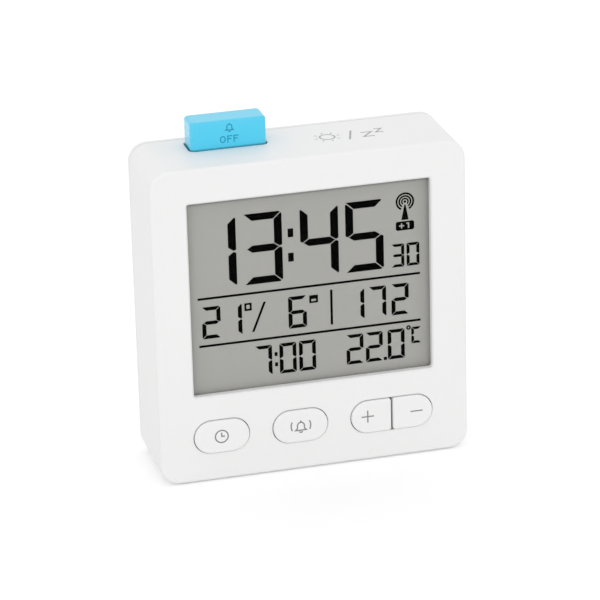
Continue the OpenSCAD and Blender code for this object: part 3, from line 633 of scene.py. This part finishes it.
# cells: printed sleeves that leave the metal ends bare, and the upper cell points the other way
cellLook = {
    "start": -19.4, "middle": 26.95,   # the lower cell's flat end, and the height between the cells
    "shoulder": 0.7, "band": 35.0, "capSide": 43.2,   # along a cell from its flat end
    "sleeve": (0.1, 0.16, 0.22), "bandColour": (0.62, 0.64, 0.66), "can": (0.7, 0.7, 0.69),
    "wear": 900.0, "wornFrom": 0.9, "wornBy": 0.2, "sleeveCover": 0.8,
    "roughness": 0.22, "wearRough": 0.15, "bump": 0.1, "bumpDeep": 0.02,
}


def makeCellSleeve(look):
    material, tree, shader = startMaterial("cellSleeve")
    place = splitPlace(tree)
    upper = addMath(tree, "GREATER_THAN", place["Z"], look["middle"] * mm)
    turn = minus(tree, 1.0, times(tree, upper, 2.0))
    along = minus(tree, times(tree, place["X"], turn), look["start"] * mm)
    afterStart = addMath(tree, "GREATER_THAN", along, look["shoulder"] * mm)
    beforeEnd = addMath(tree, "LESS_THAN", along, look["capSide"] * mm)
    covered = times(tree, afterStart, beforeEnd)
    banded = addMath(tree, "GREATER_THAN", along, look["band"] * mm)
    paper = addMix(tree, banded, (*look["sleeve"], 1), (*look["bandColour"], 1))
    wear = addNoise(tree, placeOn(tree), look["wear"], detail=4.0, roughness=0.7)
    paper = addTint(tree, paper, plus(tree, look["wornFrom"], times(tree, wear, look["wornBy"])))
    tree.links.new(addMix(tree, covered, (*look["can"], 1), paper), shader.inputs["Base Color"])
    bare = minus(tree, 1.0, times(tree, covered, look["sleeveCover"]))
    tree.links.new(bare, shader.inputs["Metallic"])
    rough = plus(tree, look["roughness"], times(tree, wear, look["wearRough"]))
    tree.links.new(rough, shader.inputs["Roughness"])
    tree.links.new(addBump(tree, wear, look["bump"], look["bumpDeep"] * mm), shader.inputs["Normal"])
    return material


dress(makeCellSleeve(cellLook), "battery_cells")
print("materials: housing, keys and inner pieces")


# display: a grey reflective cell behind a clear window
displayLook = {
    "face": (0.418, 0.416, 0.393), "gloss": 0.2, "roughness": 0.6, "bump": 0.1, "bumpDeep": 0.01,
    "speckle": 5200.0, "speckleTone": 0.03, "speckleRough": 0.1,
    "cloud": 22.0, "cloudTone": 0.04, "least": 0.965,
    "sideFrom": 31.85, "sideWide": 1.0, "sideDark": 0.05, "topFrom": 76.9, "topWide": 0.5, "topDark": 0.3,
    "coat": 0.02, "print": 0.02,
}
lensLook = {"tint": (0.01, 0.011, 0.01), "alpha": 0.03, "ior": 1.45, "smear": 130.0, "roughness": 0.06}
cellGlassLook = {"colour": (0.5, 0.52, 0.48), "roughness": 0.1}
rearFilmLook = {"colour": (0.3, 0.31, 0.28), "roughness": 0.4}
usualGlass = {"smear": 200.0, "smearDark": 0.9, "smearRough": 0.05}


def makeDisplayFace(look):
    # fine diffuser speckle, a slow change of tone, and painted shade of the window's edges on the face at its
    # sides and top
    material, tree, shader = startMaterial("displayFace")
    where, place = placeOn(tree), splitPlace(tree)
    speckle = addNoise(tree, where, look["speckle"], detail=3.0, roughness=0.7)
    cloud = addNoise(tree, where, look["cloud"], detail=1.0)
    uneven = plus(tree, times(tree, speckle, look["speckleTone"]), times(tree, cloud, look["cloudTone"]))
    # painted shade: the face darkens towards the window's sides, and more towards its top
    pastSide = minus(tree, addMath(tree, "ABSOLUTE", place["X"]), look["sideFrom"] * mm)
    pastTop = minus(tree, place["Z"], look["topFrom"] * mm)
    sideShadeRamp = addMath(tree, "DIVIDE", pastSide, look["sideWide"] * mm, clamp=True)
    topShadeRamp = addMath(tree, "DIVIDE", pastTop, look["topWide"] * mm, clamp=True)
    sideShade, topShade = times(tree, sideShadeRamp, look["sideDark"]), times(tree, topShadeRamp, look["topDark"])
    paintedShade = minus(tree, 1.0, addMath(tree, "MAXIMUM", sideShade, topShade))
    tone = times(tree, plus(tree, look["least"], uneven), paintedShade)
    tree.links.new(addTint(tree, (*look["face"], 1), tone), shader.inputs["Base Color"])
    shader.inputs["Specular IOR Level"].default_value = look["gloss"]
    rough = plus(tree, look["roughness"], times(tree, speckle, look["speckleRough"]))
    tree.links.new(rough, shader.inputs["Roughness"])
    tree.links.new(addBump(tree, speckle, look["bump"], look["bumpDeep"] * mm), shader.inputs["Normal"])
    return material


def makeLens(look):
    material, tree, shader = startMaterial("clearLens")
    smear = addNoise(tree, placeOn(tree), look["smear"], detail=4.0, roughness=0.6)
    shader.inputs["Base Color"].default_value = (*look["tint"], 1)
    shader.inputs["IOR"].default_value = look["ior"]
    tree.links.new(times(tree, smear, look["roughness"]), shader.inputs["Roughness"])
    shader.inputs["Alpha"].default_value = look["alpha"]
    return material


def makeCellGlass(name, look):
    look = {**usualGlass, **look}
    material, tree, shader = startMaterial(name)
    smear = addNoise(tree, placeOn(tree), look["smear"], detail=3.0)
    darker = tuple(c * look["smearDark"] for c in look["colour"])
    tree.links.new(addMix(tree, smear, (*look["colour"], 1), (*darker, 1)), shader.inputs["Base Color"])
    rough = plus(tree, look["roughness"], times(tree, smear, look["smearRough"]))
    tree.links.new(rough, shader.inputs["Roughness"])
    return material


displayFace = makeDisplayFace(displayLook)
dress(displayFace, "front_polariser")
dress(makeLens(lensLook), "display_window")
dress(makeCellGlass("cellGlass", cellGlassLook), "lcd_front_glass", "lcd_rear_glass")
dress(makeCellGlass("filmGrey", rearFilmLook), "rear_polariser")

# segments of the read-out, in millimetres on the coat; a digit's place is its left edge
segmentsOf = {
    "0": "abcdef", "1": "bc", "2": "abged", "3": "abgcd", "4": "fgbc", "5": "afgcd", "6": "afgedc",
    "7": "abc", "C": "afed",
}
segmentStyle = {"flat": 0.92, "corner": 0.34, "tip": 0.34}   # shares of the stroke
segmentShift = (0.26, 0.29)   # moves the whole read-out to the right and up
readOut = {
    "time": {
        "digits": [("1", -30.25), ("3", -17.8), ("4", -2.5), ("5", 9.85)],
        "low": 53.1, "wide": 10.65, "high": 19.95, "stroke": 2.4, "gap": 0.24,
    },
    "seconds": {
        "digits": [("3", 22.4), ("0", 26.6)],
        "low": 53.13, "wide": 3.66, "high": 6.62, "stroke": 0.95, "gap": 0.1,
    },
    "date": {
        "digits": [("2", -29.67), ("1", -23.85), ("6", -6.2)],
        "low": 39.33, "wide": 5.17, "high": 9.14, "stroke": 1.24, "gap": 0.14,
    },
    "dayOfYear": {
        "digits": [("1", 9.9), ("7", 15.95), ("2", 22.2)],
        "low": 39.5, "wide": 4.95, "high": 9.0, "stroke": 1.24, "gap": 0.14,
    },
    "alarm": {
        "digits": [("7", -15.62), ("0", -8.95), ("0", -3.58)],
        "low": 26.82, "wide": 4.78, "high": 8.75, "stroke": 1.17, "gap": 0.14,
    },
    "warmth": {
        "digits": [("2", 9.5), ("2", 14.87), ("0", 20.97)],
        "low": 26.92, "wide": 4.87, "high": 8.65, "stroke": 1.17, "gap": 0.14,
    },
    "unit": {
        "digits": [("C", 27.6)],
        "low": 30.75, "wide": 2.86, "high": 4.82, "stroke": 0.87, "gap": 0.1,
    },
}


def segmentShapes(digit, row):
    # across: thickness of the flat strokes; cut: blunt outer corners; tip: where three strokes meet
    wide, high, stroke = row["wide"], row["high"], row["stroke"]
    across, cut, tip = (stroke * segmentStyle[k] for k in ("flat", "corner", "tip"))
    mid, inner, under = high / 2, wide - stroke, high - across
    upperMid, lowerMid = mid + across / 2, mid - across / 2
    blunt = (wide - cut / 2, high - cut / 2)
    shapes = {
        "a": [(0, high), (wide - cut, high), blunt, (inner, under), (stroke, under)],
        "b": [
            (wide, high - cut), blunt, (inner, under),
            (inner, upperMid), (wide - tip, mid), (wide, mid + cut / 2),
        ],
        "g": [
            (stroke, upperMid), (inner, upperMid), (wide - tip, mid),
            (inner, lowerMid), (stroke, lowerMid), (tip, mid),
        ],
    }
    shapes["d"] = [(x, high - y) for x, y in shapes["a"]]
    shapes["c"] = [(x, high - y) for x, y in shapes["b"]]
    shapes["f"] = [(wide - x, y) for x, y in shapes["b"]]
    shapes["e"] = [(wide - x, high - y) for x, y in shapes["b"]]
    return [inset(shapes[k], row["gap"] / 2) for k in segmentsOf[digit]]


filmLow, filmHigh = (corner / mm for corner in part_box("front_polariser"))
coatFace = filmLow.y - displayLook["coat"]
segmentInk = makeInk("segmentBlack", {"colour": (0.0012, 0.0014, 0.001), "roughness": 0.6, "gloss": 0.0})


def displayPrint(name, shapes, lift=0.0, material=segmentInk):
    origin = (segmentShift[0], coatFace - lift, segmentShift[1])
    makePrint(name, shapes, frontPlane, origin, displayLook["print"], material, "clock")


for rowName, row in readOut.items():
    shapes = []
    for digit, left in row["digits"]:
        shapes += moved(segmentShapes(digit, row), (left, row["low"]))
    displayPrint("segments_" + rowName, shapes)

# the matt coat of the front film: the window rests on the film itself, so the coat is the face that shows
makePrint(
    "mattCoat", [bar(filmLow.x, filmLow.z, filmHigh.x, filmHigh.z)], frontPlane,
    (0, filmLow.y, 0), displayLook["coat"], displayFace, "clock",
)

# the mast of the time signal: three open rings round a dot, on a tapered foot
mastLook = {
    "middle": (26.4, 71.4),
    "dot": 0.34,
    # radius, first and last angle, steps and stroke of each ring
    "rings": [(2.3, -62, 242, 26, 0.5), (1.56, -58, 238, 24, 0.44), (0.86, -48, 228, 20, 0.4)],
    "foot": [(25.35, 66.3), (27.35, 66.3), (26.55, 70.55), (26.25, 70.55)],
}


def mastShapes(look):
    shapes = []
    for radius, start, end, steps, width in look["rings"]:
        shapes += strokeQuads(arc(look["middle"], radius, start, end, steps), width)
    return shapes + disc(look["middle"], look["dot"]) + [look["foot"]]


# the other marks; a bar's numbers are its left, lower, right and upper sides
marks = {
    "timeColon": [bar(-5.73, 65.2, -4.23, 67.6), bar(-5.76, 58.35, -4.26, 60.8)],
    "alarmColon": [bar(-10.22, 32.1, -9.42, 33.22), bar(-10.18, 29.13, -9.34, 30.27)],
    "upperRule": [bar(-30.6, 50.445, 30.3, 51.075)],
    "lowerRule": [bar(-30.6, 37.07, 30.3, 37.71)],
    "divider": [bar(5.4, 39.1, 6.04, 49.05)],
    "dateSlash": [slantedBar(-15.85, 39.8, -12.5, 47.95, 0.66)],
    "point": [bar(19.86, 26.98, 20.78, 27.88)],
    "degree": ring((26.9, 35.5), 0.44, 0.42, steps=20),
    "dayMark": [
        bar(-18.05, 45.95, -17.5, 48.15), bar(-16.6, 45.95, -16.05, 48.15),
        bar(-17.5, 47.6, -16.6, 48.15), bar(-17.5, 45.95, -16.6, 46.5),
    ],
    "monthMark": [
        bar(-0.35, 45.95, 0.2, 47.05), bar(1.5, 45.95, 2.05, 47.05),
        bar(-0.35, 47.05, 2.05, 48.15), bar(0.2, 45.95, 1.5, 46.45),
    ],
    "mast": mastShapes(mastLook),
    "pill": [[
        (23.8, 63.75), (24.15, 63.4), (28.5, 63.4), (28.85, 63.75),
        (28.85, 65.55), (28.5, 65.9), (24.15, 65.9), (23.8, 65.55),
    ]],
}
for markName, shapes in marks.items():
    displayPrint(markName, shapes)

# the pill's own mark is a plain "+1", in the tone of the cell
plusOne = [
    bar(24.7, 64.5, 26.1, 64.85), bar(25.22, 63.97, 25.57, 64.5), bar(25.22, 64.85, 25.57, 65.38),
    bar(27.1, 63.9, 27.5, 65.45), bar(26.7, 65.1, 27.1, 65.45),
]
displayPrint("pillMark", plusOne, lift=displayLook["print"], material=displayFace)
print("display: read-out of", len(readOut) + len(marks), "groups")


# prints on the keys and on the top
printLook = {"stroke": 0.36, "thickness": 0.012}
greyInk = makeInk("greyInk", {"colour": (0.2, 0.2, 0.205), "roughness": 0.5})
topInk = makeInk("topInk", {"colour": (0.31, 0.31, 0.315), "roughness": 0.5})
offInk = makeInk("offInk", {"colour": (0.003, 0.26, 0.4), "roughness": 0.45})


# front keys: the place and size of each sign, in millimetres
clockSign = {"middle": (-26.0, 12.9), "radius": 1.75, "longHand": 0.62, "shortHand": 0.5}
bellSign = {
    "middle": (-4.25, 12.8), "size": 1.75,
    "waveMiddle": (-4.25, 13.0), "waveRadius": 2.7, "waveTurns": [(152, 208), (-28, 28)],
}
plusSign = {"middle": (14.34, 13.08), "reach": 1.74}
minusSign = {"middle": (28.01, 12.93), "reach": 1.69}
# a bell's form, in shares of its size
bellForm = {
    "dome": 0.55, "domeUp": 0.12, "neckDown": 0.3, "lip": 0.85, "lipDown": 0.62,
    "clapper": 0.26, "clapperDown": 0.72, "knob": 0.13, "knobUp": 0.86,
}


def clockShape(sign, stroke):
    x, z = sign["middle"]
    upright, level = (sign["radius"] * sign[k] for k in ("longHand", "shortHand"))
    hands = [(x, z + upright), (x, z), (x + level, z)]
    return ring(sign["middle"], sign["radius"], stroke) + strokeQuads(hands, stroke)


def bellShape(centre, size, stroke):
    # a dome that flares to its lip, a clapper under it and a knob on top
    x, z = centre
    form = {part: share * size for part, share in bellForm.items()}
    dome = arc((x, z + form["domeUp"]), form["dome"], 180, 0, steps=14)
    leftLip = [(x - form["lip"], z - form["lipDown"]), (x - form["dome"], z - form["neckDown"])]
    rightLip = [(x + form["dome"], z - form["neckDown"]), (x + form["lip"], z - form["lipDown"])]
    shapes = strokeQuads(leftLip + dome + rightLip, stroke, closed=True)
    shapes += strokeQuads(arc((x, z - form["clapperDown"]), form["clapper"], 200, 340, steps=8), stroke)
    shapes += disc((x, z + form["knobUp"]), form["knob"], steps=12)
    return shapes


def ringingBell(sign, stroke):
    shapes = bellShape(sign["middle"], sign["size"], stroke)
    for start, end in sign["waveTurns"]:
        shapes += strokeQuads(arc(sign["waveMiddle"], sign["waveRadius"], start, end, steps=8), stroke)
    return shapes


def minusShape(sign, stroke):
    x, z = sign["middle"]
    return [bar(x - sign["reach"], z - stroke / 2, x + sign["reach"], z + stroke / 2)]


def plusShape(sign, stroke):
    # the level bar, and an upright one above and below it
    x, z = sign["middle"]
    left, right = x - stroke / 2, x + stroke / 2
    above = bar(left, z + stroke / 2, right, z + sign["reach"])
    below = bar(left, z - sign["reach"], right, z - stroke / 2)
    return minusShape(sign, stroke) + [above, below]


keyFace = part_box("time_key")[0].y / mm
keyPrints = {
    "clockPrint": ("time_key", clockShape(clockSign, printLook["stroke"])),
    "bellPrint": ("alarm_key", ringingBell(bellSign, printLook["stroke"])),
    "plusPrint": ("plus_key", plusShape(plusSign, printLook["stroke"])),
    "minusPrint": ("minus_key", minusShape(minusSign, printLook["stroke"])),
}
for printName, (body, shapes) in keyPrints.items():
    makePrint(
        printName, shapes, frontPlane, (0, keyFace, 0), printLook["thickness"], greyInk, body,
    )

# alarm-off key: a small bell over a plain OFF; the flange reaches further out than the cap
offPrintLook = {
    "flange": 0.9, "line": 89.68, "high": 1.95, "wide": 1.4, "stroke": 0.33, "narrow": 0.78,
    "armLow": 0.85, "armShare": 0.85, "turnStep": 15, "letters": (-20.25, -18.3, -16.6),
    "bell": (-17.6, 93.85), "bellSize": 1.2, "bellStroke": 0.32,
}


def letterF(x, look):
    z, stroke, top = look["line"], look["stroke"], look["line"] + look["high"]
    arm = z + look["armLow"]
    return [
        bar(x, z, x + stroke, top),
        bar(x + stroke, top - stroke, x + look["wide"], top),
        bar(x + stroke, arm, x + look["wide"] * look["armShare"], arm + stroke),
    ]


def letterO(x, look):
    tall = (look["high"] - look["stroke"]) / 2
    broad = tall * look["narrow"]
    middle = (x + look["stroke"] / 2 + broad, look["line"] + look["high"] / 2)
    turns = [math.radians(a) for a in range(0, 360, look["turnStep"])]
    outline = [(middle[0] + broad * math.cos(t), middle[1] + tall * math.sin(t)) for t in turns]
    return strokeQuads(outline, look["stroke"], closed=True)


def offShapes(look):
    first, second, third = look["letters"]
    shapes = letterO(first, look) + letterF(second, look) + letterF(third, look)
    return shapes + bellShape(look["bell"], look["bellSize"], look["bellStroke"])


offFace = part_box("alarm_off_key")[0].y / mm + offPrintLook["flange"]
makePrint(
    "offPrint", offShapes(offPrintLook), frontPlane, (0, offFace, 0), printLook["thickness"],
    offInk, "alarm_off_key",
)

# touch field on the top: a lamp with eight rays, a slash and two sleep signs
lampSign = {
    "middle": (8.75, 0.55), "radius": 2.0, "ringWide": 0.42,
    "rays": 8, "turn": 12, "rayFrom": 2.75, "rayTo": 3.6, "rayWide": 0.32,
}
# left, right, back and front of each sleep sign, and its stroke
sleepSigns = [((18.0, 21.0, 1.1, -2.3), 0.5), ((22.0, 24.1, 2.9, 0.2), 0.46)]
slashSign = (13.95, -3.2, 16.0, 3.6, 0.5)   # its front end, its back end and its width


def lampShapes(look):
    x, y = look["middle"]
    shapes = ring(look["middle"], look["radius"], look["ringWide"])
    for k in range(look["rays"]):
        t = math.radians(360 / look["rays"] * k + look["turn"])
        ray = [(x + r * math.cos(t), y + r * math.sin(t)) for r in (look["rayFrom"], look["rayTo"])]
        shapes += strokeQuads(ray, look["rayWide"])
    return shapes


def sleepShapes(signs):
    shapes = []
    for (left, right, back, front), stroke in signs:
        shapes += strokeQuads([(left, back), (right, back), (left, front), (right, front)], stroke)
    return shapes


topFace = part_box("front_housing")[1].z / mm
topPrints = {
    "lightPrint": lampShapes(lampSign),
    "topSlash": [slantedBar(*slashSign)],
    "sleepPrint": sleepShapes(sleepSigns),
}
for printName, shapes in topPrints.items():
    makePrint(
        printName, shapes, topPlane, (0, 0, topFace), printLook["thickness"], topInk, "clock",
    )
print("prints: keys, alarm-off key and top")


# studio: pale floor, soft lamps, and a white surround for the camera
studioLook = {
    "floorSize": 6.0, "floor": (0.86, 0.86, 0.86), "floorRoughness": 0.9, "floorGloss": 0.1,
    "floorGlow": 0.24, "ambient": 0.9, "aim": (0, 0, 0.04),
    "lamps": [   # name, place, size in metres, power in watts
        ("frontSoftbox", (-0.75, -1.4, 0.35), 1.2, 5.0),
        ("rightFill", (1.3, -0.9, 0.3), 0.9, 1.4),
        ("backSoftbox", (0.15, 0.75, 1.3), 1.0, 0.7),
    ],
}


def addSeen(tree):
    # 1 for what the camera sees directly, in gloss or through glass
    path = tree.nodes.new("ShaderNodeLightPath").outputs
    seen = addMath(tree, "MAXIMUM", path["Is Camera Ray"], path["Is Glossy Ray"])
    return addMath(tree, "MAXIMUM", seen, path["Is Transmission Ray"])


def makeFloor(look):
    bpy.ops.mesh.primitive_plane_add(size=look["floorSize"], location=(0, 0, 0))
    floor = bpy.context.object
    floor.name = "floor"
    material, tree, shader = startMaterial("paleFloor")
    shader.inputs["Base Color"].default_value = (*look["floor"], 1)
    shader.inputs["Roughness"].default_value = look["floorRoughness"]
    shader.inputs["Specular IOR Level"].default_value = look["floorGloss"]
    shader.inputs["Emission Color"].default_value = (1, 1, 1, 1)
    tree.links.new(times(tree, addSeen(tree), look["floorGlow"]), shader.inputs["Emission Strength"])
    floor.data.materials.append(material)


def makeWorld(look):
    world = bpy.data.worlds.new("studio")
    scene.world = world
    world.use_nodes = True
    tree = world.node_tree
    background = next(n for n in tree.nodes if n.type == "BACKGROUND")
    background.inputs["Color"].default_value = (1, 1, 1, 1)
    level = plus(tree, look["ambient"], times(tree, addSeen(tree), 1.0 - look["ambient"]))
    tree.links.new(level, background.inputs["Strength"])


def makeLamps(look):
    for name, place, size, power in look["lamps"]:
        data = bpy.data.lights.new(name, "AREA")
        data.shape, data.size, data.energy = "SQUARE", size, power
        lamp = bpy.data.objects.new(name, data)
        lamp.location = place
        lamp.rotation_euler = (Vector(look["aim"]) - Vector(place)).to_track_quat("-Z", "Y").to_euler()
        scene.collection.objects.link(lamp)


makeFloor(studioLook)
makeWorld(studioLook)
makeLamps(studioLook)
scene.view_settings.view_transform = "Standard"
print("studio: floor, world and", len(studioLook["lamps"]), "lamps")
